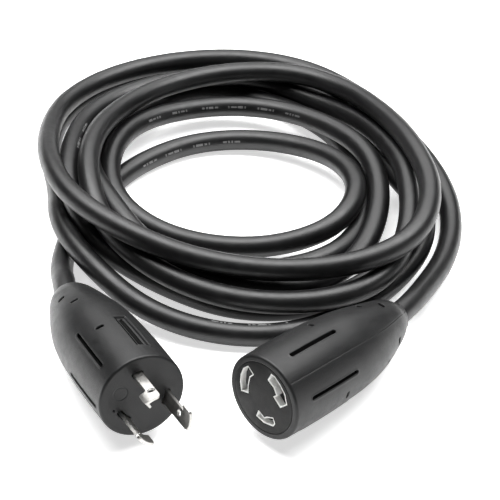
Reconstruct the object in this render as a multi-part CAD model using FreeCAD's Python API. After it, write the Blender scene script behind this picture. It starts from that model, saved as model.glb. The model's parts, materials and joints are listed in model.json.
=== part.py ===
import FreeCAD, Part
import math
import os

os.makedirs("parts", exist_ok=True)
V = FreeCAD.Vector

# ---------------------------------------------------------------------------
# Shore power cord set, 20 A locking plug and connector on a coiled 3-core cable.
# Millimetres, +Z up, standing surface at z = 0.
# Working positions are given about the coil's middle and moved to the row
# origin, which is the bottom centre of the plug and connector together.
# ---------------------------------------------------------------------------
ORIGIN_X, ORIGIN_Y = -10.15, -149.81        # row origin, about the coil's middle

# cable
CABLE_D = 10.9
JACKET_ID = 8.5
CORE_D = 3.9                          # insulated core
STRAND_D = 2.4                        # bare stranded conductor
CORE_PCR = 2.3                        # cores' centre radius in the cable
FILLER_D = 1.5
FILLER_PCR = 3.45

# grip, shared by the plug and the connector: (distance back from face, radius)
GRIP = [(1.2, 19.55), (10, 19.72), (20, 19.8), (30, 19.68), (40, 19.3), (50, 18.7),
        (60, 17.2), (68, 15.2), (75, 13.0), (80, 11.3), (84, 9.3), (87, 7.1), (89, 5.75)]
FACE_EDGE_R = 18.5                    # face radius inside its rounded edge
GRIP_LEN = 89.0
CARRIER_R = 15.5
INNER_R = 13.5
CARRIER_FRONT, CARRIER_BACK = 2.5, 14.0
INNER_SHOULDER, INNER_BACK = 47.0, 60.0
STUB_R = CABLE_D / 2.0

# locking blades (NEMA L5-20 pattern): polar angle about the axis, degrees
BLADE_R0, BLADE_R1 = 11.0, 12.4       # inner and outer face
BLADE_OUT = 19.3                      # length proud of the face
NEUTRAL_OUT = 23.4                    # the longer blade
LUG_LEN = 6.6
BLADE_HOLE_R = 1.5
BLADE_HOLE_S = 13.6                   # distance of the hole from the face
PLUG_GROUND = (75.5, 95.0)
PLUG_NEUTRAL = (186.0, 217.5)
PLUG_LINE = (-53.0, -21.5)
LUG_ANGLE = 16.5                      # lug, on the side of decreasing angle

# terminal and lead layout
BARREL_PCR = 10.3
BARREL_R = 2.0
PLUG_LEADS = (82.0, 202.0, -38.0)     # ground, neutral, line
CONN_LEADS = (137.0, 17.0, -105.0)    # ground, neutral, line

# poses of the two moulded bodies
PLUG_F = (-45.3, -178.1, 25.03)
PLUG_PHI, PLUG_TAU = -62.4, 7.4
CONN_F = (5.6, -178.3, 24.24)
CONN_PHI, CONN_TAU = 225.3, 6.5


# --- helpers in the body's own frame: +X out of the face, polar angle t ------
def pol(x, r, t):
    t = math.radians(t)
    return V(x, -r * math.cos(t), r * math.sin(t))


def revolve(pts, spline=None):
    """Solid of revolution about X of a half profile given as (x, r) points."""
    edges = []
    vs = [V(x, 0, r) for x, r in pts]
    i = 0
    while i < len(vs) - 1:
        if spline and i == spline[0]:
            c = Part.BSplineCurve()
            c.interpolate(vs[spline[0]:spline[1] + 1])
            edges.append(c.toShape())
            i = spline[1]
        else:
            edges.append(Part.LineSegment(vs[i], vs[i + 1]).toShape())
            i += 1
    edges.append(Part.LineSegment(vs[-1], vs[0]).toShape())
    face = Part.Face(Part.Wire(edges))
    return face.revolve(V(0, 0, 0), V(1, 0, 0), 360)


def cyl(x0, x1, r):
    return Part.makeCylinder(r, x1 - x0, V(x0, 0, 0), V(1, 0, 0))


def sector(x0, x1, r0, r1, t0, t1):
    """Annular sector between two polar angles, extruded along X."""
    a0, a1, am = pol(x0, r1, t0), pol(x0, r1, t1), pol(x0, r1, (t0 + t1) / 2)
    b0, b1, bm = pol(x0, r0, t0), pol(x0, r0, t1), pol(x0, r0, (t0 + t1) / 2)
    w = Part.Wire([Part.Arc(a0, am, a1).toShape(), Part.LineSegment(a1, b1).toShape(),
                   Part.Arc(b1, bm, b0).toShape(), Part.LineSegment(b0, a0).toShape()])
    return Part.Face(w).extrude(V(x1 - x0, 0, 0))


def prism(x0, x1, ab):
    """Straight prism along X on a closed outline in the face plane (a right, b up)."""
    vs = [V(x0, -a, b) for a, b in ab]
    return Part.Face(Part.makePolygon(vs + [vs[0]])).extrude(V(x1 - x0, 0, 0))


def inset(ab, d):
    """Closed outline moved inwards by d."""
    area = sum(ab[i][0] * ab[(i + 1) % len(ab)][1] - ab[(i + 1) % len(ab)][0] * ab[i][1] for i in range(len(ab)))
    sg = 1.0 if area > 0 else -1.0
    out = []
    for i in range(len(ab)):
        p, q, r = ab[i - 1], ab[i], ab[(i + 1) % len(ab)]
        e1, e2 = (q[0] - p[0], q[1] - p[1]), (r[0] - q[0], r[1] - q[1])
        l1, l2 = math.hypot(*e1), math.hypot(*e2)
        n1 = (-sg * e1[1] / l1, sg * e1[0] / l1)
        n2 = (-sg * e2[1] / l2, sg * e2[0] / l2)
        k = d / (1.0 + n1[0] * n2[0] + n1[1] * n2[1])
        out.append((q[0] + k * (n1[0] + n2[0]), q[1] + k * (n1[1] + n2[1])))
    return out


def lead_wire(t, x_back, x_front):
    """Core centreline in one radial plane: straight, S bend outwards, straight."""
    xa, xb, ra, rb = -57.0, -38.0, CORE_PCR, BARREL_PCR
    h, L = rb - ra, xb - xa
    R = (L * L + h * h) / (4 * h)
    ang = math.asin(L / (2 * R))
    m1 = (xa + R * math.sin(ang / 2), ra + R * (1 - math.cos(ang / 2)))
    mid = ((xa + xb) / 2, (ra + rb) / 2)
    m2 = (xb - R * math.sin(ang / 2), rb - R * (1 - math.cos(ang / 2)))
    P = lambda q: pol(q[0], q[1], t)
    e = []
    if x_back < xa:
        e.append(Part.LineSegment(P((x_back, ra)), P((xa, ra))).toShape())
    e.append(Part.Arc(P((xa, ra)), P(m1), P(mid)).toShape())
    e.append(Part.Arc(P(mid), P(m2), P((xb, rb))).toShape())
    e.append(Part.LineSegment(P((xb, rb)), P((x_front, rb))).toShape())
    return Part.Wire(e)


def sweep(wire, r):
    p0 = wire.OrderedVertexes[0].Point
    d = wire.OrderedEdges[0].tangentAt(wire.OrderedEdges[0].FirstParameter)
    circ = Part.Wire(Part.makeCircle(r, p0, d))
    s = wire.makePipeShell([circ], True, True)
    return s


def place(F, phi, tau):
    p, t = math.radians(phi), math.radians(tau)
    n = V(math.cos(p) * math.cos(t), math.sin(p) * math.cos(t), math.sin(t))
    a = n.cross(V(0, 0, 1))
    a.normalize()
    b = a.cross(n)
    y = a * -1
    m = FreeCAD.Matrix(n.x, y.x, b.x, F[0] - ORIGIN_X,
                       n.y, y.y, b.y, F[1] - ORIGIN_Y,
                       n.z, y.z, b.z, F[2],
                       0, 0, 0, 1)
    return m


NODES = {}


def put(name, shape, m=None):
    if m is not None:
        shape = shape.copy()
        shape.Placement = FreeCAD.Placement(m)
    NODES[name] = shape


def solid_of(shape):
    s = shape.Solids
    return s[0] if len(s) == 1 else Part.makeCompound(s)


# --- grip ---------------------------------------------------------------------
def grip_body():
    prof = [(0, 0), (0, FACE_EDGE_R), (-0.35, 19.15)] + [(-s, r) for s, r in GRIP] + [(-GRIP_LEN, 0)]
    return revolve(prof, spline=(3, 3 + len(GRIP) - 1))


def bar_cut(s0, s1, t, half_w, depth):
    tool = Part.makeBox(s1 - s0, 2 * half_w, 8, V(-s1, -half_w, 0))
    tool = tool.fuse(Part.makeCylinder(half_w, 8, V(-s0, 0, 0), V(0, 0, 1)))
    tool = tool.fuse(Part.makeCylinder(half_w, 8, V(-s1, 0, 0), V(0, 0, 1)))
    rr = []
    for s in (s0, (s0 + s1) / 2.0, s1):
        for (a, ra), (b, rb) in zip(GRIP, GRIP[1:]):
            if a <= s <= b:
                rr.append(ra + (rb - ra) * (s - a) / (b - a))
    tool.translate(V(0, 0, min(rr) - depth))
    # polar angle t maps to (Y, Z) = (-cos t, sin t); +Z is t = 90
    tool.rotate(V(0, 0, 0), V(1, 0, 0), 90 - t)
    return tool


def pocket():
    prof = [(-CARRIER_FRONT, 0), (-CARRIER_FRONT, CARRIER_R), (-CARRIER_BACK, CARRIER_R),
            (-CARRIER_BACK, INNER_R), (-INNER_SHOULDER, INNER_R), (-INNER_BACK, 7.0),
            (-INNER_BACK, STUB_R), (-GRIP_LEN - 5, STUB_R), (-GRIP_LEN - 5, 0)]
    return revolve(prof)


def cores(angles, x_front):
    """Three insulated leads and three bare conductors."""
    ins, cond = [], []
    for t in angles:
        w = lead_wire(t, -GRIP_LEN, -33.0)
        wc = lead_wire(t, -GRIP_LEN, x_front)
        c = sweep(wc, STRAND_D / 2)
        cond.append(c)
        ins.append(sweep(w, CORE_D / 2).cut(sweep(lead_wire(t, -GRIP_LEN - 1.0, -32.0), STRAND_D / 2)))
    return ins, cond


def stub_and_fillers(angles):
    jacket = cyl(-GRIP_LEN, -INNER_BACK, STUB_R).cut(cyl(-GRIP_LEN - 1, -INNER_BACK + 1, JACKET_ID / 2))
    fl = []
    for t in angles:
        p = pol(-GRIP_LEN, FILLER_PCR, t + 60)
        fl.append(Part.makeCylinder(FILLER_D / 2, GRIP_LEN - INNER_BACK, p, V(1, 0, 0)))
    return jacket, fl


def barrel(t, x0, x1):
    p = pol(x0, BARREL_PCR, t)
    return Part.makeCylinder(BARREL_R, x1 - x0, p, V(1, 0, 0)).cut(
        Part.makeCylinder(STRAND_D / 2, x1 - x0 + 2, p - V(1, 0, 0), V(1, 0, 0)))


def blade(t0, t1, lead_t, inward=False, out=BLADE_OUT):
    b = sector(-CARRIER_BACK - 0.5, out, BLADE_R0, BLADE_R1, t0, t1)
    lug = sector(out - LUG_LEN, out, BLADE_R0, BLADE_R1, t0 - LUG_ANGLE, t0 + 1)
    b = b.fuse(lug)
    if inward:
        tab = sector(out - LUG_LEN, out, 8.7, BLADE_R0 + 0.3, t0 - LUG_ANGLE, t0 - LUG_ANGLE + 7.5)
        b = b.fuse(tab)
    # chamfered tip corners
    rm = (BLADE_R0 + BLADE_R1) / 2
    c = 1.6
    for tt, sgn in ((t1, 1), (t0 - LUG_ANGLE, -1)):
        dt = math.degrees(c / rm)
        tri_r0, tri_r1 = 8.0, 14.5
        pts = [(out - c, tt + sgn * 0.5), (out + 1, tt + sgn * 0.5), (out + 1, tt - sgn * dt * 1.45)]
        lo = Part.makePolygon([pol(x, tri_r0, a) for x, a in pts] + [pol(pts[0][0], tri_r0, pts[0][1])])
        hi = Part.makePolygon([pol(x, tri_r1, a) for x, a in pts] + [pol(pts[0][0], tri_r1, pts[0][1])])
        cut = Part.makeLoft([lo, hi], True, True)
        b = b.cut(cut)
    tm = (t0 + t1) / 2
    hole = Part.makeCylinder(BLADE_HOLE_R, 8, pol(BLADE_HOLE_S, 8.5, tm), pol(0, 1, tm))
    b = b.cut(hole)
    tail = sector(-22.0, -CARRIER_BACK - 0.4, BLADE_R0, BLADE_R1, lead_t - 8, lead_t + 8)
    b = b.fuse(tail)
    b = b.cut(Part.makeCylinder(STRAND_D / 2, 12, pol(-32, BARREL_PCR, lead_t), V(1, 0, 0)))
    b = b.fuse(barrel(lead_t, -31.0, -20.0))
    return b.removeSplitter()


# --- plug -----------------------------------------------------------------------
def make_plug():
    m = place(PLUG_F, PLUG_PHI, PLUG_TAU)
    g, n, l = PLUG_LEADS
    bg = blade(PLUG_GROUND[0], PLUG_GROUND[1], g, True)
    bn = blade(PLUG_NEUTRAL[0], PLUG_NEUTRAL[1], n, False, NEUTRAL_OUT)
    bl = blade(PLUG_LINE[0], PLUG_LINE[1], l)
    ins, cond = cores(PLUG_LEADS, -21.0)
    jacket, fl = stub_and_fillers(PLUG_LEADS)
    carrier = cyl(-CARRIER_BACK, -CARRIER_FRONT, CARRIER_R)
    inner = revolve([(-CARRIER_BACK, 0), (-CARRIER_BACK, INNER_R), (-INNER_SHOULDER, INNER_R),
                     (-INNER_BACK, 7.0), (-INNER_BACK, 0)])
    grip = grip_body().cut(pocket())
    for b in (bg, bn, bl):
        carrier = carrier.cut(b)
        inner = inner.cut(b)
        grip = grip.cut(b)
    for c in ins + cond:
        inner = inner.cut(c)
    for s0, s1, t, w, d in PLUG_BARS:
        grip = grip.cut(bar_cut(s0, s1, t, w, d))
    put("plug_grip", solid_of(grip), m)
    put("plug_blade_carrier", solid_of(carrier), m)
    put("plug_inner_mould", solid_of(inner), m)
    put("plug_ground_blade", solid_of(bg), m)
    put("plug_neutral_blade", solid_of(bn), m)
    put("plug_line_blade", solid_of(bl), m)
    for nm, s in zip(("plug_ground_core", "plug_neutral_core", "plug_line_core"), ins):
        put(nm, solid_of(s), m)
    put("plug_conductors", Part.makeCompound(cond), m)
    put("plug_cable_end", solid_of(jacket), m)
    put("plug_fillers", Part.makeCompound(fl), m)


# grooves and moulding windows: (start, end, polar angle, half width, depth)
PLUG_BARS = [(9.9, 36.3, 49, 0.8, 0.9), (5, 31, -1, 0.8, 0.9), (9.5, 34.8, 109, 2.4, 0.7),
             (10, 37, 169, 0.8, 0.9), (10, 37, 229, 0.8, 0.9), (10, 37, 289, 0.8, 0.9),
             (68.6, 70.6, 57.7, 0.6, 1.2), (58.6, 61.0, 74.1, 0.6, 1.2), (29.9, 31.9, 77, 0.6, 1.2),
             (59.8, 61.8, -105, 0.6, 1.2), (69, 71, -122, 0.6, 1.2)]
CONN_BARS = [(11.3, 37.8, 100, 0.8, 0.9), (10.4, 38, 162, 0.8, 0.9), (10.5, 38, 40, 0.8, 0.9),
             (10.5, 38, 222, 0.8, 0.9), (10.5, 38, 282, 0.8, 0.9), (10.5, 38, 342, 0.8, 0.9),
             (63.2, 65.2, 70.1, 0.6, 1.2), (73.6, 75.4, 89.3, 0.6, 1.2), (73.0, 74.8, 175.7, 0.6, 1.2),
             (63.2, 65.0, -166.3, 0.6, 1.2), (31.7, 33.5, -170.7, 0.6, 1.2), (33.3, 35.1, 69.4, 0.6, 1.2)]

# slot outlines in the connector's face, (right, up) from its centre
SLOT_NEUTRAL = [(12.96, 8.22), (10.3, 11.04), (6.56, 8.33), (8.52, 5.76), (9.01, 1.01), (8.58, -2.84),
                (12.83, -4.09), (14.0, 0.07), (14.08, 4.13)]
SLOT_GROUND = [(-2.75, 14.59), (-1.17, 10.36), (-5.03, 8.26), (-6.74, 5.59), (-5.2, 3.95), (-9.68, 0.58),
               (-13.26, 4.21), (-11.52, 8.86), (-8.23, 12.22), (-4.99, 14.25)]
SLOT_LINE = [(2.05, -7.76), (2.99, -11.53), (-1.54, -12.55), (-7.06, -11.27), (-7.96, -9.06), (-6.49, -6.62),
             (-2.93, -8.28), (-1.54, -9.59), (0.47, -8.57)]
FACE_R, FACE_T = 16.6, 3.0
COLLAR_T, COLLAR_BACK = 0.5, 0.12     # light collars lining the slots
CONTACT_CARRIER_R = 16.6
CONTACT_CARRIER_BACK = 25.0
CONN_INNER_FRONT = 25.0


def contact(t_mid, half, r_in, r_out, lead_t):
    """Female contact: two sprung leaves, a web behind them, a crimp barrel."""
    leaf_o = sector(-20.5, -4.5, r_out - 0.8, r_out, t_mid - half, t_mid + half)
    leaf_i = sector(-20.5, -4.5, r_in, r_in + 0.8, t_mid - half, t_mid + half)
    web = sector(-21.3, -20.5, r_in, r_out, t_mid - half, t_mid + half)
    tail = sector(-27.5, -21.3, BARREL_PCR - 0.2, BARREL_PCR + 0.8, lead_t - 7, lead_t + 7)
    c = leaf_o.fuse(leaf_i).fuse(web).fuse(tail)
    c = c.cut(Part.makeCylinder(STRAND_D / 2, 12.5, pol(-38, BARREL_PCR, lead_t), V(1, 0, 0)))
    c = c.fuse(barrel(lead_t, -34.5, -26.5))
    return c.removeSplitter()


def make_connector():
    m = place(CONN_F, CONN_PHI, CONN_TAU)
    g, n, l = CONN_LEADS
    prof = [(1.0, 0), (1.0, FACE_R), (-CONTACT_CARRIER_BACK, FACE_R), (-CONTACT_CARRIER_BACK, INNER_R),
            (-INNER_SHOULDER, INNER_R), (-INNER_BACK, 7.0), (-INNER_BACK, STUB_R),
            (-GRIP_LEN - 5, STUB_R), (-GRIP_LEN - 5, 0)]
    grip = grip_body().cut(revolve(prof))
    for s0, s1, t, w, d in CONN_BARS:
        grip = grip.cut(bar_cut(s0, s1, t, w, d))
    face = cyl(-FACE_T, 0, FACE_R)
    carrier = cyl(-CONTACT_CARRIER_BACK, -FACE_T, CONTACT_CARRIER_R)
    cg = contact(g, 32, 9.6, 14.9, g)
    cn = contact(n, 30, 9.3, 14.4, n)
    cl = contact(l, 26, 8.8, 13.0, l)
    pockets = []
    for slot, c in ((SLOT_GROUND, cg), (SLOT_NEUTRAL, cn), (SLOT_LINE, cl)):
        face = face.cut(prism(-FACE_T - 1, 1, slot))
        carrier = carrier.fuse(prism(-FACE_T - 0.5, -COLLAR_BACK, inset(slot, 0.02)))
        carrier = carrier.cut(prism(-21.3, 1, inset(slot, COLLAR_T)))
        carrier = carrier.cut(c)
    ins, cond = cores(CONN_LEADS, -25.5)
    jacket, fl = stub_and_fillers(CONN_LEADS)
    inner = revolve([(-CONN_INNER_FRONT, 0), (-CONN_INNER_FRONT, INNER_R), (-INNER_SHOULDER, INNER_R),
                     (-INNER_BACK, 7.0), (-INNER_BACK, 0)])
    for c in (cg, cn, cl):
        inner = inner.cut(c)
    ins2 = []
    for t, c in zip(CONN_LEADS, ins):
        c = c.cut(cyl(-36.0, 0, 20))
        ins2.append(c)
    for c in ins2 + cond:
        inner = inner.cut(c)
    put("connector_grip", solid_of(grip), m)
    put("connector_face", solid_of(face), m)
    put("connector_contact_carrier", solid_of(carrier), m)
    put("connector_inner_mould", solid_of(inner), m)
    put("connector_ground_contact", solid_of(cg), m)
    put("connector_neutral_contact", solid_of(cn), m)
    put("connector_line_contact", solid_of(cl), m)
    for nm, s in zip(("connector_ground_core", "connector_neutral_core", "connector_line_core"), ins2):
        put(nm, solid_of(s), m)
    put("connector_conductors", Part.makeCompound(cond), m)
    put("connector_cable_end", solid_of(jacket), m)
    put("connector_fillers", Part.makeCompound(fl), m)


# --- cable ------------------------------------------------------------------------
# routes between the bodies and the coil, about the coil's middle
CONN_ROUTE = [(67.799, -115.446, 14.165), (80.099, -103.016, 12.173), (90.5, -85.2, 10.3), (98.0, -65.6, 9.4),
              (101.3, -43.9, 9.6), (100.4, -21.9, 10.8)]
PLUG_ROUTE = [(-86.190, -99.885, 13.567), (-93.771, -85.385, 11.442), (-97.8, -66.8, 8.9), (-97.1, -46.8, 7.0),
              (-92.4, -27.4, 6.0)]
# the coil's outer shape: azimuth, inner radius, outer radius, top at inner, middle and outer part
COIL_C = (-3.0, 0.0)
COIL = [(0, 46.6, 100.4, 22.3, 39.6, 40.4), (15, 43.1, 99.3, 22.2, 38.7, 38.7), (30, 39.7, 100.6, 16.9, 35.1, 33.9),
        (45, 37.2, 108.6, 21.1, 32.0, 29.7), (60, 35.9, 116.3, 19.6, 29.2, 21.7), (75, 35.7, 122.9, 17.9, 27.8, 21.9),
        (90, 35.8, 127.3, 16.5, 27.7, 21.9), (105, 37.1, 129.6, 16.2, 27.7, 21.5), (120, 39.5, 129.8, 18.3, 28.1, 20.6),
        (135, 42.7, 129.6, 20.8, 30.5, 21.8), (150, 46.1, 126.6, 22.2, 33.7, 26.5), (165, 51.8, 117.9, 22.5, 36.6, 32.1),
        (180, 58.5, 106.9, 22.2, 37.9, 37.3), (195, 59.7, 103.7, 28.0, 37.9, 39.8), (210, 54.9, 107.9, 17.4, 36.6, 40.1),
        (225, 50.1, 112.5, 13.6, 38.9, 39.6), (240, 46.8, 117.7, 11.7, 36.9, 22.3), (255, 45.8, 121.0, 11.5, 33.0, 21.6),
        (270, 45.9, 122.4, 12.1, 30.2, 20.8), (285, 47.0, 122.4, 13.6, 30.3, 31.1), (300, 50.3, 118.7, 16.3, 30.3, 34.7),
        (315, 53.2, 114.8, 18.9, 30.6, 38.3), (330, 54.6, 112.6, 20.6, 31.0, 40.3), (345, 51.2, 103.1, 20.9, 40.4, 40.6)]


def coil_solid():
    rings = []
    for az, ri, ro, zi, zm, zo in COIL:
        c, s = math.cos(math.radians(az)), math.sin(math.radians(az))
        rm1, rm2 = ri + (ro - ri) * 0.36, ri + (ro - ri) * 0.68
        sec = [(ri, 0.0), (ro, 0.0), (ro, zo * 0.62), (ro - 5.0, zo), (rm2, zm), (rm1, (zi + zm) / 2), (ri + 2.0, zi), (ri, zi * 0.6)]
        rings.append([V(COIL_C[0] + r * c - ORIGIN_X, COIL_C[1] + r * s - ORIGIN_Y, z) for r, z in sec])
    faces = []
    n, m = len(rings), len(rings[0])
    for i in range(n):
        A, B = rings[i], rings[(i + 1) % n]
        for j in range(m):
            k = (j + 1) % m
            for tri in ((A[j], A[k], B[k]), (A[j], B[k], B[j])):
                faces.append(Part.Face(Part.makePolygon([tri[0], tri[1], tri[2], tri[0]])))
    sh = Part.Shell(faces)
    so = Part.Solid(sh)
    if so.Volume < 0:
        so.reverse()
    return so.removeSplitter()


def tube(route, r, name):
    """Round tube along straight runs joined by tangent arcs."""
    pts = [V(x - ORIGIN_X, y - ORIGIN_Y, z) for x, y, z in route]
    edges, last = [], pts[0]
    length = 0.0
    for i in range(1, len(pts) - 1):
        u = pts[i] - pts[i - 1]
        w = pts[i + 1] - pts[i]
        lu, lw = u.Length, w.Length
        u.normalize()
        w.normalize()
        ang = math.acos(max(-1, min(1, u.dot(w))))
        cut = 0.45 * min(lu, lw)
        R = cut / math.tan(ang / 2)
        a, b = pts[i] - u * cut, pts[i] + w * cut
        bis = (w - u)
        bis.normalize()
        c = pts[i] + bis * (R / math.cos(ang / 2))
        mid = c - bis * R
        edges.append(Part.LineSegment(last, a).toShape())
        edges.append(Part.Arc(a, mid, b).toShape())
        length += (a - last).Length + R * ang
        last = b
        print("%s point %d: run %.1f turn %.1f deg radius %.1f" % (name, i, lu, math.degrees(ang), R))
    edges.append(Part.LineSegment(last, pts[-1]).toShape())
    length += (pts[-1] - last).Length
    wire = Part.Wire(edges)
    d = pts[1] - pts[0]
    s = wire.makePipeShell([Part.Wire(Part.makeCircle(r, pts[0], d))], True, True)
    print("%s length %.1f volume %.1f section x length %.1f valid %s" % (
        name, length, s.Volume, math.pi * r * r * length, s.isValid()))
    return s


make_plug()
make_connector()
put("cable_plug_run", tube(PLUG_ROUTE, CABLE_D / 2, "cable_plug_run"))
put("cable_connector_run", tube(CONN_ROUTE, CABLE_D / 2, "cable_connector_run"))
put("cable_coil", coil_solid())

lo, hi = [1e9] * 3, [-1e9] * 3
for name, shape in NODES.items():
    bb = shape.BoundBox
    print("%-28s solids %d valid %s vol %.1f box %.1f %.1f %.1f .. %.1f %.1f %.1f" % (
        name, len(shape.Solids), shape.isValid(), shape.Volume,
        bb.XMin, bb.YMin, bb.ZMin, bb.XMax, bb.YMax, bb.ZMax))
    if not name.startswith("cable_"):
        for i, (a, b) in enumerate(((bb.XMin, bb.XMax), (bb.YMin, bb.YMax), (bb.ZMin, bb.ZMax))):
            lo[i], hi[i] = min(lo[i], a), max(hi[i], b)
    shape.exportStep("parts/%s.step" % name)
print("plug and connector box", [round(v, 2) for v in lo], [round(v, 2) for v in hi],
      "centre", round((lo[0] + hi[0]) / 2, 2), round((lo[1] + hi[1]) / 2, 2))
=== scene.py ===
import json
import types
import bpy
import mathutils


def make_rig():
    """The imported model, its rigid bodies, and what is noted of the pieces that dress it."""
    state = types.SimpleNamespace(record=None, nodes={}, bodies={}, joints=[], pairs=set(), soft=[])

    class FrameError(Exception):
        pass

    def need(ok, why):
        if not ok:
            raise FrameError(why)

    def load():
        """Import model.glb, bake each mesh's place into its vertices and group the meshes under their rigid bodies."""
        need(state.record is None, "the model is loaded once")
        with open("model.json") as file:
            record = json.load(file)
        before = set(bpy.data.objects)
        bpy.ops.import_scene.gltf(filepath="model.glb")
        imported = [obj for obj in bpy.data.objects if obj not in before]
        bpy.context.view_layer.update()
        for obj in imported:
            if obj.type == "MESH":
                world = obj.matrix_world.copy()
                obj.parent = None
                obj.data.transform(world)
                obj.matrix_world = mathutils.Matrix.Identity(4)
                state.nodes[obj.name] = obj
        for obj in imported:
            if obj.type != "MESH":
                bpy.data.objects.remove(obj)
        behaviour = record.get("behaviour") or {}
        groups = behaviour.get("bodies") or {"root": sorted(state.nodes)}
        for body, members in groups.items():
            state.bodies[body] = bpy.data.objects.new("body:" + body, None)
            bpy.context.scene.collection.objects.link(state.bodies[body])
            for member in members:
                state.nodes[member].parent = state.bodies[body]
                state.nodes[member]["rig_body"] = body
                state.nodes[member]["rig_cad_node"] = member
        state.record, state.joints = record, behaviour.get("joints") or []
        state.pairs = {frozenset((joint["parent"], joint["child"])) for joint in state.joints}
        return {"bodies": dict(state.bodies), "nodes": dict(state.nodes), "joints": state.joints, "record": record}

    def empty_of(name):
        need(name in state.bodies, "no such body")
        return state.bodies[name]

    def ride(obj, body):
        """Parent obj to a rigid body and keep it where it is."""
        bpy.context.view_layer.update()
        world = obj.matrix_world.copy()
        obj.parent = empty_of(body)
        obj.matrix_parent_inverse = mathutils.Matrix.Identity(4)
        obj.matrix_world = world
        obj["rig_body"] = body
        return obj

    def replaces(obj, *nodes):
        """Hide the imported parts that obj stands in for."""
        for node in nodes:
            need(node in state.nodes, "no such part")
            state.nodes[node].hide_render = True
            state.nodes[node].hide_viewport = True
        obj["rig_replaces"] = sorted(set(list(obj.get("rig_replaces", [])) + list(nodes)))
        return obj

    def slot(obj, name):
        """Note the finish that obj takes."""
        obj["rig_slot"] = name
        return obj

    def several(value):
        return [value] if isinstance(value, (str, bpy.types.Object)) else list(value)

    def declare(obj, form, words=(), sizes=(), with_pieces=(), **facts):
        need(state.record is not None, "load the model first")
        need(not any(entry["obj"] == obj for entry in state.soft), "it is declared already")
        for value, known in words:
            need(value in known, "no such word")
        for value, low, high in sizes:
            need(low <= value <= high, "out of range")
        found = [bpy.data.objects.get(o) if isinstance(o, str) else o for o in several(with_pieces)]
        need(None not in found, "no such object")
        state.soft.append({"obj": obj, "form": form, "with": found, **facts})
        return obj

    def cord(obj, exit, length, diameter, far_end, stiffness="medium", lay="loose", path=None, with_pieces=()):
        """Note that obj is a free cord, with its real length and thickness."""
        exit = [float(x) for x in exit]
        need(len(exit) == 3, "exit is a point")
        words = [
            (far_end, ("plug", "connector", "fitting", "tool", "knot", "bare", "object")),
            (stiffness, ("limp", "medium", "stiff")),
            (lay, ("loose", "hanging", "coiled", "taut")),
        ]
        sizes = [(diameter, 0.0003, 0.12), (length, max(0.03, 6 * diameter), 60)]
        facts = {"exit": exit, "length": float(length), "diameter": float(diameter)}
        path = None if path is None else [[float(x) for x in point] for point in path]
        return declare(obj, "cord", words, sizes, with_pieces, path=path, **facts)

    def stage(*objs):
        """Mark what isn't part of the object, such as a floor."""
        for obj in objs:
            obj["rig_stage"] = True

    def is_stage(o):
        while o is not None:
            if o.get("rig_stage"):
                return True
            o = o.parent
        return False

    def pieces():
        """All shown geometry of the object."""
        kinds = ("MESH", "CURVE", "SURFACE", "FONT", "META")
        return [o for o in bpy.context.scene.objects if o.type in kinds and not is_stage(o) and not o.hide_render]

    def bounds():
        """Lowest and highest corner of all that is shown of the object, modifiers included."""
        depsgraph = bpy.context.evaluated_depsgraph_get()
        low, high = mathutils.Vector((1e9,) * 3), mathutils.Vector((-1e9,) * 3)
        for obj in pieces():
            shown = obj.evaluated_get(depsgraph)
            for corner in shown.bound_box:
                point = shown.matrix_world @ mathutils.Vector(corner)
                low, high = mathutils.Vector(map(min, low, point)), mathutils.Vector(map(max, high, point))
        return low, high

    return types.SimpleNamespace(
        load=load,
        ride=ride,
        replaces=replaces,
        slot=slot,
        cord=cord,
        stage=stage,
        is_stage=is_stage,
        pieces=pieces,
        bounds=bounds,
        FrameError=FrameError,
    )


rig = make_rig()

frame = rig.load()
import bpy, bmesh, json, math
import numpy as np
from mathutils import Vector, Matrix
CAD_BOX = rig.bounds()

scene = bpy.context.scene
NODES = frame["nodes"]
try:
    scene.view_settings.view_transform = "Standard"
except TypeError:
    pass

# ------------------------------------------------------------------ camera
cam_data = bpy.data.cameras.new("camera")
cam = bpy.data.objects.new("camera", cam_data)
scene.collection.objects.link(cam)
cam.location = (0.01015, -0.52109, 0.48820)
cam.rotation_euler = (math.radians(52.0), 0, 0)
cam_data.sensor_width = 36.0
cam_data.lens = 115.2
cam_data.clip_start = 0.02
cam_data.clip_end = 50
scene.camera = cam

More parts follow.
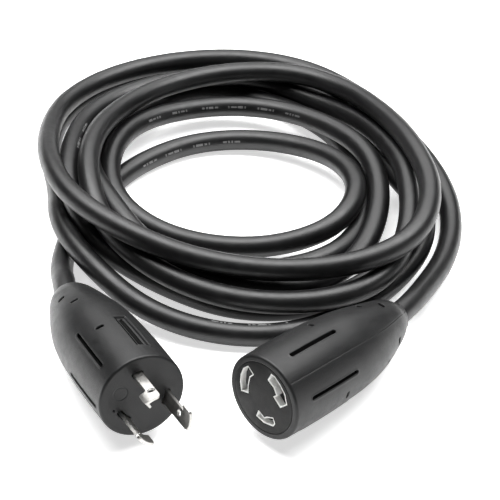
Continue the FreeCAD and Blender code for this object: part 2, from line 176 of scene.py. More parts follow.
# ------------------------------------------------------------------ the cord
# Centreline from the connector to the plug, control points in metres.
CABLE_D = 0.0109
ROUTE = [
    (0.0750, 0.0316, 0.0167), (0.0833, 0.0427, 0.0153), (0.0930, 0.0614, 0.0117), (0.1035, 0.0830, 0.0093),
    (0.1100, 0.1065, 0.0096), (0.1100, 0.1323, 0.0123), (0.1013, 0.1608, 0.0156), (0.0849, 0.1933, 0.0167),
    (0.0658, 0.2265, 0.0160), (0.0385, 0.2500, 0.0164), (0.0019, 0.2599, 0.0165), (-0.0376, 0.2576, 0.0150),
    (-0.0712, 0.2413, 0.0145), (-0.0906, 0.2135, 0.0167), (-0.0952, 0.1766, 0.0234), (-0.0910, 0.1372, 0.0321),
    (-0.0781, 0.1026, 0.0355), (-0.0515, 0.0785, 0.0323), (-0.0173, 0.0642, 0.0254), (0.0221, 0.0574, 0.0232),
    (0.0609, 0.0581, 0.0269), (0.0893, 0.0735, 0.0317), (0.0996, 0.1071, 0.0349), (0.0918, 0.1467, 0.0353),
    (0.0787, 0.1850, 0.0293), (0.0610, 0.2176, 0.0233), (0.0339, 0.2351, 0.0221), (-0.0022, 0.2351, 0.0223),
    (-0.0362, 0.2221, 0.0218), (-0.0582, 0.1957, 0.0248), (-0.0699, 0.1603, 0.0318), (-0.0708, 0.1229, 0.0331),
    (-0.0596, 0.0902, 0.0233), (-0.0324, 0.0642, 0.0165), (0.0027, 0.0464, 0.0148), (0.0416, 0.0438, 0.0156),
    (0.0733, 0.0577, 0.0173), (0.0877, 0.0912, 0.0226), (0.0893, 0.1301, 0.0272), (0.0816, 0.1662, 0.0222),
    (0.0677, 0.2007, 0.0148), (0.0427, 0.2288, 0.0090), (0.0112, 0.2442, 0.0139), (-0.0212, 0.2385, 0.0171),
    (-0.0585, 0.2232, 0.0160), (-0.0777, 0.1957, 0.0183), (-0.0824, 0.1566, 0.0244), (-0.0795, 0.1178, 0.0256),
    (-0.0632, 0.0892, 0.0129), (-0.0318, 0.0694, 0.0054), (0.0023, 0.0510, 0.0054), (0.0382, 0.0517, 0.0055),
    (0.0707, 0.0738, 0.0055), (0.0884, 0.1053, 0.0053), (0.0942, 0.1422, 0.0054), (0.0927, 0.1781, 0.0055),
    (0.0815, 0.2126, 0.0053), (0.0619, 0.2433, 0.0054), (0.0325, 0.2641, 0.0055), (-0.0042, 0.2721, 0.0055),
    (-0.0422, 0.2658, 0.0055), (-0.0746, 0.2452, 0.0055), (-0.0948, 0.2150, 0.0055), (-0.0969, 0.1799, 0.0054),
    (-0.0875, 0.1425, 0.0092), (-0.0836, 0.1050, 0.0163), (-0.0663, 0.0736, 0.0157), (-0.0400, 0.0463, 0.0097),
    (-0.0058, 0.0332, 0.0057), (0.0304, 0.0331, 0.0055), (0.0641, 0.0531, 0.0054), (0.0918, 0.0841, 0.0106),
    (0.0979, 0.1136, 0.0173), (0.0839, 0.1480, 0.0142), (0.0770, 0.1851, 0.0061), (0.0649, 0.2203, 0.0053),
    (0.0402, 0.2480, 0.0057), (0.0048, 0.2600, 0.0054), (-0.0301, 0.2504, 0.0055), (-0.0584, 0.2235, 0.0055),
    (-0.0755, 0.1893, 0.0053), (-0.0804, 0.1533, 0.0115), (-0.0728, 0.1191, 0.0175), (-0.0469, 0.0924, 0.0077),
    (-0.0079, 0.0790, 0.0052), (0.0323, 0.0809, 0.0057), (0.0606, 0.1006, 0.0054), (0.0698, 0.1354, 0.0055),
    (0.0665, 0.1735, 0.0055), (0.0505, 0.2069, 0.0055), (0.0193, 0.2326, 0.0055), (-0.0186, 0.2435, 0.0051),
    (-0.0484, 0.2199, 0.0070), (-0.0693, 0.1821, 0.0134), (-0.0734, 0.1480, 0.0214), (-0.0586, 0.1124, 0.0233),
    (-0.0373, 0.0813, 0.0170), (-0.0047, 0.0597, 0.0135), (0.0356, 0.0610, 0.0090), (0.0635, 0.0847, 0.0086),
    (0.0766, 0.1240, 0.0138), (0.0732, 0.1618, 0.0175), (0.0524, 0.1934, 0.0154), (0.0205, 0.2170, 0.0109),
    (-0.0149, 0.2185, 0.0107), (-0.0485, 0.1985, 0.0151), (-0.0631, 0.1655, 0.0180), (-0.0597, 0.1288, 0.0134),
    (-0.0312, 0.1058, 0.0058), (0.0118, 0.0959, 0.0055), (0.0501, 0.1027, 0.0123), (0.0668, 0.1313, 0.0164),
    (0.0562, 0.1675, 0.0123), (0.0226, 0.1911, 0.0070), (-0.0166, 0.1925, 0.0054), (-0.0464, 0.1733, 0.0056),
    (-0.0650, 0.1467, 0.0054), (-0.0758, 0.1223, 0.0054), (-0.0805, 0.0996, 0.0050), (-0.0807, 0.0780, 0.0072),
    (-0.0766, 0.0598, 0.0140), (-0.0747, 0.0460, 0.0158),
]


def nurbs(name, pts, bevel):
    c = bpy.data.curves.new(name, "CURVE")
    c.dimensions = "3D"
    sp = c.splines.new("NURBS")
    sp.points.add(len(pts) - 1)
    for p, q in zip(sp.points, pts):
        p.co = (q[0], q[1], q[2], 1.0)
    sp.order_u = 3
    sp.use_endpoint_u = True
    c.resolution_u = 14
    c.bevel_depth = bevel
    c.bevel_resolution = 7
    c.use_fill_caps = True
    o = bpy.data.objects.new(name, c)
    scene.collection.objects.link(o)
    return o


cable = nurbs("power_cable", ROUTE, CABLE_D / 2)
guide = nurbs("guide", ROUTE, 0.0)
bpy.context.view_layer.update()
gm = bpy.data.meshes.new_from_object(guide)
LINE = np.array([v.co[:] for v in gm.vertices], float)
bpy.data.objects.remove(guide)
bpy.data.meshes.remove(gm)
SEG = np.linalg.norm(np.diff(LINE, axis=0), axis=1)
ARC = np.r_[0.0, np.cumsum(SEG)]
CORD_LEN = float(ARC[-1])


def line_at(s):
    """Point and direction on the centreline at a distance s from its start."""
    i = int(np.clip(np.searchsorted(ARC, s) - 1, 0, len(SEG) - 1))
    f = (s - ARC[i]) / max(SEG[i], 1e-9)
    p = LINE[i] * (1 - f) + LINE[i + 1] * f
    a, b = max(i - 1, 0), min(i + 2, len(LINE) - 1)
    t = LINE[b] - LINE[a]
    return p, t / np.linalg.norm(t)


# ------------------------------------------------------------------ materials
def new_mat(name):
    m = bpy.data.materials.new(name)
    m.use_nodes = True
    nt = m.node_tree
    return m, nt, nt.nodes["Principled BSDF"]


def noise(nt, scale, detail=3.0, rough=0.55, stretch=None, seedloc=(0, 0, 0)):
    tc = nt.nodes.new("ShaderNodeTexCoord")
    mp = nt.nodes.new("ShaderNodeMapping")
    mp.inputs["Location"].default_value = seedloc
    if stretch:
        mp.inputs["Scale"].default_value = stretch
    n = nt.nodes.new("ShaderNodeTexNoise")
    n.inputs["Scale"].default_value = scale
    n.inputs["Detail"].default_value = detail
    n.inputs["Roughness"].default_value = rough
    nt.links.new(tc.outputs["Object"], mp.inputs["Vector"])
    nt.links.new(mp.outputs["Vector"], n.inputs["Vector"])
    return n


def plastic(name, dark, light, rough, rough_var=0.06, grain=2200.0, grain_d=0.00004,
            blotch=60.0, spec=0.5, metallic=0.0, stretch=None, streak=0.0):
    """Mottled colour, varied roughness and a fine moulded grain."""
    m, nt, b = new_mat(name)
    n1 = noise(nt, blotch, 4.0, 0.6)
    cr = nt.nodes.new("ShaderNodeValToRGB")
    cr.color_ramp.elements[0].position = 0.32
    cr.color_ramp.elements[0].color = (*dark, 1)
    cr.color_ramp.elements[1].position = 0.70
    cr.color_ramp.elements[1].color = (*light, 1)
    nt.links.new(n1.outputs["Fac"], cr.inputs["Fac"])
    nt.links.new(cr.outputs["Color"], b.inputs["Base Color"])
    n2 = noise(nt, blotch * 4.5, 3.0, 0.5, stretch, (3.1, 1.7, 0.4))
    mr = nt.nodes.new("ShaderNodeMapRange")
    mr.inputs["From Min"].default_value = 0.3
    mr.inputs["From Max"].default_value = 0.7
    mr.inputs["To Min"].default_value = max(0.02, rough - rough_var)
    mr.inputs["To Max"].default_value = rough + rough_var
    nt.links.new(n2.outputs["Fac"], mr.inputs["Value"])
    nt.links.new(mr.outputs["Result"], b.inputs["Roughness"])
    n3 = noise(nt, grain, 2.0, 0.6, stretch)
    bp = nt.nodes.new("ShaderNodeBump")
    bp.inputs["Strength"].default_value = 1.0
    bp.inputs["Distance"].default_value = grain_d
    nt.links.new(n3.outputs["Fac"], bp.inputs["Height"])
    nt.links.new(bp.outputs["Normal"], b.inputs["Normal"])
    b.inputs["Metallic"].default_value = metallic
    b.inputs["Specular IOR Level"].default_value = spec
    return m


M = {
    "jacket": plastic("jacket_pvc", (0.0022, 0.0022, 0.0025), (0.0042, 0.0042, 0.0045), 0.41, 0.05, 1300.0, 0.000016, 45.0, 0.46),
    "grip": plastic("grip_pvc", (0.0070, 0.0071, 0.0073), (0.0105, 0.0106, 0.0108), 0.40, 0.05, 2600.0, 0.00005, 70.0, 0.30),
    "face": plastic("face_thermoplastic", (0.0045, 0.0045, 0.0043), (0.0070, 0.0070, 0.0068), 0.50, 0.05, 2200.0, 0.00004, 90.0, 0.22),
    # near-black painted shade for faces inside the grips' grooves, holes and window floor
    "painted_shade": plastic("grip_pvc_painted_shade", (0.0006, 0.0006, 0.0006), (0.0016, 0.0016, 0.0016), 0.75, 0.05, 2000.0, 0.00005, 90.0, 0.08),
    "carrier_dark": plastic("dark_nylon", (0.03, 0.03, 0.03), (0.05, 0.05, 0.05), 0.5, 0.05, 1800.0, 0.00004, 80.0),
    "nylon": plastic("natural_nylon", (0.80, 0.80, 0.78), (0.90, 0.90, 0.88), 0.42, 0.06, 1500.0, 0.00003, 300.0, 0.5),
    "inner": plastic("inner_mould_plastic", (0.09, 0.09, 0.09), (0.13, 0.13, 0.13), 0.55, 0.05, 1500.0, 0.00004, 90.0),
    "nickel": plastic("nickel_plate", (0.36, 0.355, 0.34), (0.50, 0.49, 0.47), 0.34, 0.07, 1500.0, 0.0000015, 160.0, 0.5, 1.0, (1, 1, 4)),
    "brass": plastic("spring_brass", (0.62, 0.47, 0.22), (0.74, 0.60, 0.32), 0.28, 0.06, 2600.0, 0.00001, 200.0, 0.5, 1.0),
    "copper": plastic("stranded_copper", (0.62, 0.30, 0.18), (0.80, 0.44, 0.28), 0.32, 0.06, 2600.0, 0.00006, 900.0, 0.5, 1.0, (1, 1, 6)),
    "green": plastic("green_insulation", (0.01, 0.20, 0.05), (0.02, 0.28, 0.08), 0.35, 0.05, 1500.0, 0.00002, 90.0),
    "white": plastic("white_insulation", (0.70, 0.70, 0.68), (0.80, 0.80, 0.78), 0.35, 0.05, 1500.0, 0.00002, 90.0),
    "black": plastic("black_insulation", (0.012, 0.012, 0.012), (0.02, 0.02, 0.02), 0.35, 0.05, 1500.0, 0.00002, 90.0),
    "filler": plastic("filler_cord", (0.45, 0.37, 0.25), (0.62, 0.54, 0.40), 0.9, 0.05, 1400.0, 0.0002, 500.0, 0.2),
    "legend": plastic("legend_ink", (0.085, 0.085, 0.085), (0.15, 0.15, 0.15), 0.5, 0.05, 3000.0, 0.00001, 1500.0, 0.4),
}
CAD_MATS = {
    "plug_blade_carrier": "carrier_dark", "plug_inner_mould": "inner", "plug_ground_core": "green",
    "plug_neutral_core": "white", "plug_line_core": "black", "plug_conductors": "copper",
    "plug_cable_end": "jacket", "plug_fillers": "filler", "connector_inner_mould": "inner",
    "connector_ground_core": "green", "connector_neutral_core": "white", "connector_line_core": "black",
    "connector_conductors": "copper", "connector_cable_end": "jacket", "connector_fillers": "filler",
    "connector_ground_contact": "brass", "connector_neutral_contact": "brass", "connector_line_contact": "brass",
}
for n, k in CAD_MATS.items():
    me = NODES[n].data
    me.materials.clear()
    me.materials.append(M[k])

cable.data.materials.append(M["jacket"])

# ------------------------------------------------------------------ bodies' own frames
OX, OY = -10.15, -149.81


def frame_of(F, phi, tau):
    p, t = math.radians(phi), math.radians(tau)
    n = np.array([math.cos(p) * math.cos(t), math.sin(p) * math.cos(t), math.sin(t)])
    a = np.cross(n, [0, 0, 1.0]); a /= np.linalg.norm(a)
    b = np.cross(a, n)
    return np.array([F[0] - OX, F[1] - OY, F[2]]), n, a, b


PLUG = frame_of((-45.3, -178.1, 25.03), -62.4, 7.4)
CONN = frame_of((5.6, -178.3, 24.24), 225.3, 6.5)

GRIP = np.array([(1.2, 19.55), (10, 19.72), (20, 19.8), (30, 19.68), (40, 19.3), (50, 18.7), (60, 17.2), (68, 15.2),
                 (75, 13.0), (80, 11.3), (84, 9.3), (87, 7.1), (89, 5.75)])


def smooth_profile(s):
    """Catmull-Rom through the grip's section radii."""
    x, y = GRIP[:, 0], GRIP[:, 1]
    m = np.gradient(y, x)
    m[-1] = (y[-1] - y[-2]) / (x[-1] - x[-2]) * 1.05
    s = np.clip(s, x[0], x[-1])
    i = np.clip(np.searchsorted(x, s, side="right") - 1, 0, len(x) - 2)
    h = x[i + 1] - x[i]
    t = (s - x[i]) / h
    return ((2 * t**3 - 3 * t**2 + 1) * y[i] + (t**3 - 2 * t**2 + t) * h * m[i]
            + (-2 * t**3 + 3 * t**2) * y[i + 1] + (t**3 - t**2) * h * m[i + 1])


def sstep(e0, e1, x):
    t = np.clip((x - e0) / (e1 - e0), 0, 1)
    return t * t * (3 - 2 * t)


def wrap(d):
    return (d + math.pi) % (2 * math.pi) - math.pi


def bar(S, TH, R, s0, s1, deg, w, depth, lip=0.17, tilt=0.0):
    """A round-ended groove along the body, with a thin raised lip."""
    th = math.radians(deg)
    u = S - (s0 + s1) / 2
    v = R * wrap(TH - th) + tilt * u
    sd = np.hypot(np.maximum(np.abs(u) - (s1 - s0) / 2, 0), v) - w
    return -depth * (1 - sstep(-0.34, 0.06, sd)) + lip * np.exp(-((sd - 0.34) / 0.22) ** 2)


def pit(S, TH, R, s0, s1, deg, w, depth, lip=0.02):
    """A short opening across the body."""
    u = S - (s0 + s1) / 2
    v = R * wrap(TH - math.radians(deg))
    sd = np.hypot(np.maximum(np.abs(v + 0.25 * u) - 1.15, 0), u) - w
    return -depth * (1 - sstep(-0.34, 0.06, sd)) + lip * np.exp(-((sd - 0.34) / 0.22) ** 2)


def poly_sd(U, V, pts):
    """Signed distance to a closed polygon, negative inside."""
    d = np.full(U.shape, 1e9)
    inside = np.zeros(U.shape, bool)
    n = len(pts)
    for i in range(n):
        (x0, y0), (x1, y1) = pts[i], pts[(i + 1) % n]
        ex, ey = x1 - x0, y1 - y0
        t = np.clip(((U - x0) * ex + (V - y0) * ey) / (ex * ex + ey * ey), 0, 1)
        d = np.minimum(d, np.hypot(U - x0 - t * ex, V - y0 - t * ey))
        c = ((y0 > V) != (y1 > V)) & (U < (x1 - x0) * (V - y0) / ((y1 - y0) if y1 != y0 else 1e-9) + x0)
        inside ^= c
    return np.where(inside, -d, d)


def mesh_object(name, verts, faces, mat, smooth=True):
    me = bpy.data.meshes.new(name)
    me.from_pydata([tuple(v) for v in verts], [], faces)
    me.validate()
    me.update()
    if smooth:
        me.polygons.foreach_set("use_smooth", np.ones(len(me.polygons), bool))
    me.materials.append(mat)
    o = bpy.data.objects.new(name, me)
    scene.collection.objects.link(o)
    return o


def lathe(name, pose, side_fn, face_fn, tail, face_r0, mat, NA=440):
    """Grip from its section, with moulded detail carried in the mesh itself; faces sunk into its grooves, holes and
    window floor take a near-black painted shade.
    """
    F, n, a, b = pose
    TH1 = np.linspace(0, 2 * math.pi, NA, endpoint=False)
    rows_x, rows_r, kind = [], [], []
    if face_r0 > 0:                      # open front: start on the inner wall
        for x, r in ((-3.2, face_r0), (-1.6, face_r0), (-0.45, face_r0), (-0.16, face_r0 + 0.06), (-0.03, face_r0 + 0.20)):
            rows_x.append(x); rows_r.append(r); kind.append(0)
        rr = np.arange(face_r0 + 0.45, 18.3, 0.28)
    else:
        rr = np.arange(0.28, 18.3, 0.28)
    for r in rr:
        rows_x.append(0.0); rows_r.append(float(r)); kind.append(1)
    for k in range(0, 9):                # rounded front edge
        q = math.radians(90 * k / 8)
        rows_x.append(-(1.15 - 1.15 * math.cos(q))); rows_r.append(18.4 + 1.15 * math.sin(q)); kind.append(0)
    ss = np.r_[np.arange(1.45, 42, 0.27), np.arange(42, 80, 0.36), np.linspace(80, 89, 26)]
    for s in ss:
        rows_x.append(-float(s)); rows_r.append(float(smooth_profile(np.array([s]))[0])); kind.append(2)
    X = np.repeat(np.array(rows_x)[:, None], NA, 1)
    R = np.repeat(np.array(rows_r)[:, None], NA, 1)
    K = np.repeat(np.array(kind)[:, None], NA, 1)
    TH = np.repeat(TH1[None, :], len(rows_x), 0)
    S = -X
    SD = np.where(K == 2, side_fn(S, TH, R), 0)
    R = R + SD
    A, B = R * np.cos(TH), R * np.sin(TH)
    X = X + np.where(K == 1, face_fn(A, B), 0)
    w = sstep(58, 90, S)                 # the tail leans with the cable
    P = (F[None, None] + X[..., None] * n + A[..., None] * a + B[..., None] * b + w[..., None] * tail)
    V = P.reshape(-1, 3) / 1000.0
    nr = len(rows_x)
    faces = []
    for j in range(nr - 1):
        o0, o1 = j * NA, (j + 1) * NA
        for i in range(NA):
            k = (i + 1) % NA
            faces.append((o0 + i, o0 + k, o1 + k, o1 + i))
    V = list(V)
    c = len(V)
    if face_r0 > 0:
        V.append((F + n * -3.2) / 1000.0)
    else:
        V.append((F + n * float(face_fn(np.zeros(1), np.zeros(1))[0])) / 1000.0)
    for i in range(NA):
        faces.append((c, (i + 1) % NA, i))
    c = len(V)
    V.append((F - n * 89.0 + tail) / 1000.0)
    o0 = (nr - 1) * NA
    for i in range(NA):
        faces.append((c, o0 + i, o0 + (i + 1) % NA))
    ob = mesh_object(name, V, faces, mat)
    ob.data.materials.append(M["painted_shade"])
    # painted shade on the plug window: its floor, apart from the ridge, counts as sunk; its walls do not
    if name.startswith("plug"):
        wsd = poly_sd(S, 19.65 * np.mod(TH, 2 * math.pi), WINDOW)
        SD = np.where((wsd < 0.3) & (K == 2), np.where((wsd < -0.62) & (np.abs(wsd + 1.25) > 0.38), -1.0, 0.0), SD)
    # faces sunk more than 0.45 mm get the painted-shade material
    painted_shade_depth = np.concatenate([SD.ravel(), [0.0, 0.0]])
    painted_shade_faces = np.array([1 if painted_shade_depth[list(p.vertices)].mean() < -0.45 else 0 for p in ob.data.polygons], np.int32)
    ob.data.polygons.foreach_set("material_index", painted_shade_faces)
    bm = bmesh.new()
    bm.from_mesh(ob.data)
    bmesh.ops.recalc_face_normals(bm, faces=bm.faces)
    bm.to_mesh(ob.data)
    bm.free()
    return ob


# small openings sink 2.6 mm and long bars are shallower 1.7 mm grooves; faces inside both get a near-black painted
# shade in lathe
PLUG_BARS = [(9.9, 36.3, 49, 0.9, 1.7), (5, 31, -1, 0.9, 1.7), (10, 37, 169, 0.9, 1.7), (10, 37, 229, 0.9, 1.7), (10, 37, 289, 0.9, 1.7)]
PLUG_HOLES = [(68.7, 70.7, 57.7, 0.80, 2.6), (58.7, 61.0, 74.1, 0.80, 2.6), (29.9, 31.9, 77, 0.85, 2.6), (59.8, 61.8, -105, 0.80, 2.6), (69, 71, -122, 0.80, 2.6)]
CONN_BARS = [(11.3, 37.8, 100, 0.9, 1.7), (10.4, 38, 162, 0.9, 1.7), (10.5, 38, 40, 0.9, 1.7), (10.5, 38, 222, 0.9, 1.7), (10.5, 38, 282, 0.9, 1.7), (10.5, 38, 342, 0.9, 1.7)]
CONN_HOLES = [(63.3, 65.2, 70.1, 0.80, 2.6), (73.7, 75.4, 89.3, 0.80, 2.6), (73.0, 74.8, 175.7, 0.80, 2.6), (63.3, 65.0, -166.3, 0.80, 2.6), (31.8, 33.4, -170.7, 0.80, 2.6), (33.4, 35.0, 69.4, 0.80, 2.6)]


def parting(S, TH, R, deg):
    v = R * wrap(TH - math.radians(deg))
    return -0.12 * np.exp(-((v) / 0.2) ** 2) + 0.12 * np.exp(-((v - 0.42) / 0.24) ** 2)


WINDOW = [(34.8, 19.65 * math.radians(100.7)), (35.1, 19.65 * math.radians(118.4)), (8.7, 19.65 * math.radians(118.4)), (9.5, 19.65 * math.radians(100.7))]


def plug_side(S, TH, R):
    d = np.zeros_like(S)
    for f in PLUG_BARS:
        d += bar(S, TH, R, *f)
    for f in PLUG_HOLES:
        d += pit(S, TH, R, *f)
    d += parting(S, TH, R, 131) + parting(S, TH, R, -49)
    # slanted moulding window with a fine inner line
    sd = poly_sd(S, 19.65 * np.mod(TH, 2 * math.pi), WINDOW)
    d += -1.5 * (1 - sstep(-0.40, 0.05, sd)) + 0.12 * np.exp(-((sd - 0.28) / 0.22) ** 2)
    d += 1.1 * np.exp(-((sd + 1.25) / 0.28) ** 2) * (sd < 0)
    # gentle hand flats near the rear
    d += -0.12 * sstep(42, 55, S) * (1 - sstep(62, 76, S)) * np.cos(2 * (TH - math.radians(41))) ** 2
    return d


def conn_side(S, TH, R):
    d = np.zeros_like(S)
    for f in CONN_BARS:
        d += bar(S, TH, R, *f)
    for f in CONN_HOLES:
        d += pit(S, TH, R, *f)
    d += parting(S, TH, R, 131.5) + parting(S, TH, R, -48.5)
    d += -0.12 * sstep(42, 55, S) * (1 - sstep(62, 76, S)) * np.cos(2 * (TH - math.radians(41))) ** 2
    return d


BLADES = {"plug_ground_blade": (75.5, 95.0), "plug_neutral_blade": (186.0, 217.5), "plug_line_blade": (-53.0, -21.5)}


def plug_face(A, B):
    r, th = np.hypot(A, B), np.arctan2(B, A)
    d = np.zeros_like(A)
    for t0, t1 in BLADES.values():
        tm, hw = math.radians((t0 + t1) / 2), math.radians((t1 - t0) / 2)
        du = np.maximum(np.abs(wrap(th - tm)) - hw, 0) * 11.7
        dr = np.maximum(np.abs(r - 11.7) - 0.7, 0)
        sd = np.hypot(du, dr) - 0.45
        d += -1.3 * (1 - sstep(-0.25, 0.12, sd)) + 0.05 * np.exp(-((sd - 0.35) / 0.2) ** 2)
    g = np.hypot(A - 9.5, B - 4.9)
    d += -0.22 * np.exp(-((g - 3.1) / 0.22) ** 2) - 0.10 * (1 - sstep(2.7, 3.1, g))
    g = np.hypot(A - 13.3, B + 2.3)
    d += -0.7 * (1 - sstep(0.25, 0.62, g))
    g = np.hypot(A + 3.0, B + 1.5)
    d += -0.10 * (1 - sstep(1.2, 1.5, g))
    return d


def conn_face(A, B):
    return np.zeros_like(A)


plug_grip = lathe("plug_grip_mould", PLUG, plug_side, plug_face, np.array([0.82, 0.67, 1.65]), 0.0, M["grip"])
conn_grip = lathe("connector_grip_mould", CONN, conn_side, conn_face, np.array([-0.43, 0.76, 2.07]), 16.66, M["grip"])


# ------------------------------------------------------------------ stamped and moulded pieces with broken edges
def refine(name, node, mat, width, segs=2, angle=28.0):
    src = NODES[node].data
    bm = bmesh.new()
    bm.from_mesh(src)
    bmesh.ops.remove_doubles(bm, verts=bm.verts, dist=2e-6)
    bmesh.ops.dissolve_limit(bm, angle_limit=math.radians(0.8), verts=bm.verts, edges=bm.edges)
    sharp = [e for e in bm.edges if len(e.link_faces) == 2 and e.calc_face_angle(0) > math.radians(angle)]
    bmesh.ops.bevel(bm, geom=sharp, offset=width, segments=segs, profile=0.6, affect="EDGES", clamp_overlap=True)
    bmesh.ops.triangulate(bm, faces=[f for f in bm.faces if len(f.verts) > 4])
    me = bpy.data.meshes.new(name)
    bm.to_mesh(me)
    bm.free()
    me.polygons.foreach_set("use_smooth", np.ones(len(me.polygons), bool))
    me.set_sharp_from_angle(angle=math.radians(38))
    me.materials.clear()
    me.materials.append(mat)
    o = bpy.data.objects.new(name, me)
    scene.collection.objects.link(o)
    return o


def rounded(pts, rad, n=6):
    """Closed outline with its corners rounded; rad is a radius per corner."""
    out = []
    for k in range(len(pts)):
        p, q, r = np.array(pts[k - 1]), np.array(pts[k]), np.array(pts[(k + 1) % len(pts)])
        if rad[k] <= 0:
            out.append(tuple(q))
            continue
        e1, e2 = (p - q), (r - q)
        l1, l2 = np.linalg.norm(e1), np.linalg.norm(e2)
        c = min(rad[k], 0.45 * l1, 0.45 * l2)
        A, B = q + e1 / l1 * c, q + e2 / l2 * c
        for m in range(n + 1):
            t = m / n
            out.append(tuple((1 - t) ** 2 * A + 2 * t * (1 - t) * q + t * t * B))
    return out


def offset_loop(lp, d):
    """Closed loop moved to the left of its direction by d."""
    P = np.array(lp)
    e = np.roll(P, -1, 0) - P
    e /= np.maximum(np.linalg.norm(e, axis=1), 1e-9)[:, None]
    nrm = np.column_stack([-e[:, 1], e[:, 0]])
    m = nrm + np.roll(nrm, 1, 0)
    k = np.maximum((m * nrm).sum(1), 0.4)
    return [tuple(p) for p in P + d * m / k[:, None]]


def plate(bm_all, pose, outline, hole, r0, r1, rm, bev):
    """Stamped plate with broken edges: outline in (x, arc length), rolled round the body's axis."""
    bm = bmesh.new()
    A = np.array(outline)
    area = (A[:, 0] * np.roll(A[:, 1], -1) - np.roll(A[:, 0], -1) * A[:, 1]).sum()
    sides = [(outline, 1.0 if area > 0 else -1.0)] + ([(hole, -1.0)] if hole else [])
    caps = {0: [], 1: []}
    for lp, sg in sides:
        inner = offset_loop(lp, sg * bev)
        mid = offset_loop(lp, sg * bev * 0.3)
        stack = [(inner, r0), (mid, r0 + bev * 0.3), (lp, r0 + bev), (lp, r1 - bev), (mid, r1 - bev * 0.3), (inner, r1)]
        rings = [[bm.verts.new((x, u, r)) for x, u in q] for q, r in stack]
        n = len(lp)
        for p, q in zip(rings[:-1], rings[1:]):
            for k in range(n):
                m = (k + 1) % n
                bm.faces.new((p[k], p[m], q[m], q[k]))
        for c, ring in ((0, rings[0]), (1, rings[-1])):
            caps[c] += [bm.edges.get((ring[k], ring[(k + 1) % n])) for k in range(n)]
    for c in (0, 1):
        bmesh.ops.triangle_fill(bm, use_beauty=True, use_dissolve=False, edges=caps[c])
    us = [u for _, u in outline]
    for u in np.arange(min(us) + 0.43, max(us), 0.57):
        bmesh.ops.bisect_plane(bm, geom=bm.verts[:] + bm.edges[:] + bm.faces[:], plane_co=(0, u, 0), plane_no=(0, 1, 0))
    bmesh.ops.recalc_face_normals(bm, faces=bm.faces)
    F, n, a, b = pose
    for v in bm.verts:
        x, u, r = v.co
        th = u / rm
        v.co = Vector((F + n * x + r * (math.cos(th) * a + math.sin(th) * b)) / 1000.0)
    me = bpy.data.meshes.new("tmp")
    bm.to_mesh(me)
    bm.free()
    bm_all.from_mesh(me)
    bpy.data.meshes.remove(me)


def blade_piece(name, t0, t1, out, tab):
    rm = 11.7
    D = math.radians
    lug = 16.5
    x0, xl = -12.0, out - 6.6
    u0, u1, ul = rm * D(t0), rm * D(t1), rm * D(t0 - lug)
    pts = [(x0, u0), (x0, u1), (out, u1), (out, ul), (xl, ul), (xl, u0)]
    o = rounded(pts, [0, 0, 2.2, 1.5, 0.9, 0.5])
    um = (u0 + u1) / 2
    hole = [(13.6 + 1.5 * math.cos(k * math.pi / 12), um + 1.5 * math.sin(k * math.pi / 12)) for k in range(24)]
    bm = bmesh.new()
    plate(bm, PLUG, o, hole, 11.0, 12.4, rm, 0.22)
    if tab:
        ut = rm * D(t0 - lug + 7.5)
        plate(bm, PLUG, rounded([(xl + 0.15, ul + 0.15), (xl + 0.15, ut), (out - 0.15, ut), (out - 0.15, ul + 0.15)], [0.5] * 4), None, 8.75, 11.3, rm, 0.22)
    bmesh.ops.recalc_face_normals(bm, faces=bm.faces)
    me = bpy.data.meshes.new(name)
    bm.to_mesh(me)
    bm.free()
    me.polygons.foreach_set("use_smooth", np.ones(len(me.polygons), bool))
    me.set_sharp_from_angle(angle=math.radians(12))
    me.materials.append(M["nickel"])
    ob = bpy.data.objects.new(name, me)
    scene.collection.objects.link(ob)
    return ob


PIECES = []
for node, nm, out, tab in (("plug_ground_blade", "ground_blade_stamped", 19.3, True), ("plug_neutral_blade", "neutral_blade_stamped", 23.4, False),
                           ("plug_line_blade", "line_blade_stamped", 19.3, False)):
    o = blade_piece(nm, BLADES[node][0], BLADES[node][1], out, tab)
    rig.ride(o, "root"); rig.replaces(o, node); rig.slot(o, "nickel")
    PIECES.append(o)
for node, nm, mk, sl, w in (("connector_face", "connector_face_moulded", "face", "face_insert", 0.00022),
                            ("connector_contact_carrier", "contact_carrier_moulded", "nylon", "carrier_light", 0.00015)):
    o = refine(nm, node, M[mk], w)
    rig.ride(o, "root"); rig.replaces(o, node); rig.slot(o, sl)

for o, node in ((plug_grip, "plug_grip"), (conn_grip, "connector_grip")):
    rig.ride(o, "root"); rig.replaces(o, node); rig.slot(o, "grip")

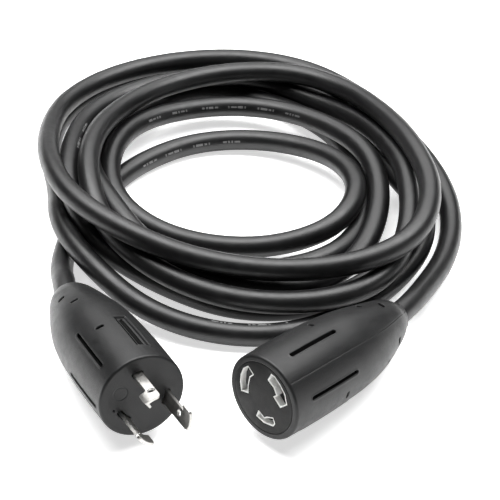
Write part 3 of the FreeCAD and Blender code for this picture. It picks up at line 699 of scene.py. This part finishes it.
# ------------------------------------------------------------------ printed legend, as plain dashes
def legend():
    """Thin ink dashes on the jacket, in uneven generic groups, beside the top of the cable."""
    verts, faces = [], []
    rad = CABLE_D / 2
    pat = [3.2, 0.9, 0.9, 2.0, 2.6, 0.9, 1.6, 4.2, 0.9, 2.2, 0.9, 3.0]
    for s0, s1, ang, side in LEGEND:
        s, k = s0, 0
        while s < s1:
            ln = pat[k % len(pat)] / 1000.0
            if k % 5 != 4:
                hgt = 1.25 / 1000.0 if k % 3 else 0.95 / 1000.0
                nseg = max(2, int(ln / 0.0006))
                base = len(verts)
                for i in range(nseg + 1):
                    p, t = line_at(s + ln * i / nseg)
                    up = np.array([0, 0, 1.0]) - t * t[2]
                    up /= np.linalg.norm(up)
                    sd = np.cross(t, up) * side
                    for lift in (0.00004, -0.00006):
                        for h in (-0.5, 0.0, 0.5):
                            q = math.radians(ang) + h * hgt / rad
                            d = up * math.cos(q) + sd * math.sin(q)
                            verts.append(p + d * (rad + lift))
                for i in range(nseg):
                    r0, r1 = base + 6 * i, base + 6 * (i + 1)
                    for j in (0, 1):
                        faces.append((r0 + j, r0 + j + 1, r1 + j + 1, r1 + j))
                        faces.append((r0 + 4 + j - 1 + 0, r1 + 4 + j - 1, r1 + 4 + j, r0 + 4 + j))
                    faces.append((r0, r1, r1 + 3, r0 + 3))
                    faces.append((r0 + 2, r0 + 5, r1 + 5, r1 + 2))
                faces.append((base, base + 3, base + 4, base + 1)); faces.append((base + 1, base + 4, base + 5, base + 2))
                e = base + 6 * nseg
                faces.append((e, e + 1, e + 4, e + 3)); faces.append((e + 1, e + 2, e + 5, e + 4))
            s += ln + (0.0009 if k % 5 != 4 else 0.0042)
            k += 1
    o = mesh_object("jacket_legend_dashes", verts, faces, M["legend"], smooth=False)
    bm = bmesh.new(); bm.from_mesh(o.data)
    bmesh.ops.recalc_face_normals(bm, faces=bm.faces)
    bm.to_mesh(o.data); bm.free()
    return o


LEGEND = [(3.697, 3.797, 62, -1), (4.106, 4.167, 66, -1), (1.581, 1.614, 48, -1), (2.41, 2.446, 12, -1)]
dashes = legend()
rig.ride(dashes, "root"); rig.slot(dashes, "carrier_light")

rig.ride(cable, "root")
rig.replaces(cable, "cable_coil", "cable_plug_run", "cable_connector_run")
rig.slot(cable, "jacket")
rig.cord(cable, exit=(0.0779, 0.0344, 0.0142), length=4.30, diameter=CABLE_D, far_end="plug",
        stiffness="medium", lay="coiled", with_pieces=[plug_grip, dashes] + PIECES)

# ------------------------------------------------------------------ studio
fm, nt, b = new_mat("studio_floor")
n = noise(nt, 3.0, 2.0)
cr = nt.nodes.new("ShaderNodeValToRGB")
cr.color_ramp.elements[0].color = (0.90, 0.90, 0.90, 1)
cr.color_ramp.elements[1].color = (0.94, 0.94, 0.94, 1)
nt.links.new(n.outputs["Fac"], cr.inputs["Fac"])
nt.links.new(cr.outputs["Color"], b.inputs["Base Color"])
b.inputs["Roughness"].default_value = 0.9
b.inputs["Specular IOR Level"].default_value = 0.1
b.inputs["Emission Color"].default_value = (1, 1, 1, 1)
b.inputs["Emission Strength"].default_value = 0.62
fl = mesh_object("studio_floor", [(-6, -6, -0.0003), (6, -6, -0.0003), (6, 6, -0.0003), (-6, 6, -0.0003)], [(0, 1, 2, 3)], fm, False)
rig.stage(fl)


def area(name, loc, target, sx, sy, power, col=(1, 1, 1)):
    l = bpy.data.lights.new(name, "AREA")
    l.shape = "RECTANGLE"
    l.size, l.size_y = sx, sy
    l.energy = power
    l.color = col
    o = bpy.data.objects.new(name, l)
    scene.collection.objects.link(o)
    o.location = loc
    d = Vector(target) - Vector(loc)
    o.rotation_euler = d.to_track_quat("-Z", "Y").to_euler()
    return o


area("top_softbox", (0.05, 0.34, 0.95), (0.02, 0.10, 0), 1.5, 0.7, 32.0)
area("back_softbox", (0.0, 1.40, 0.95), (0.0, 0.15, 0.02), 1.7, 0.55, 11.0)
area("left_low", (-1.3, 0.0, 0.25), (-0.03, 0.0, 0.03), 0.6, 0.3, 0.6)
area("right_low", (1.3, -0.35, 0.30), (0.05, 0.05, 0.03), 0.6, 0.35, 1.6)

w = bpy.data.worlds.new("studio")
scene.world = w
w.use_nodes = True
w.node_tree.nodes["Background"].inputs["Color"].default_value = (1, 1, 1, 1)
w.node_tree.nodes["Background"].inputs["Strength"].default_value = 0.03

VIS_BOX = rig.bounds()


def plain(bx):
    return [[float(c) for c in v] for v in bx]


try:
    with open("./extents.json", "w") as fh:
        json.dump({"cad": plain(CAD_BOX), "visual": plain(VIS_BOX)}, fh)
except OSError:
    pass
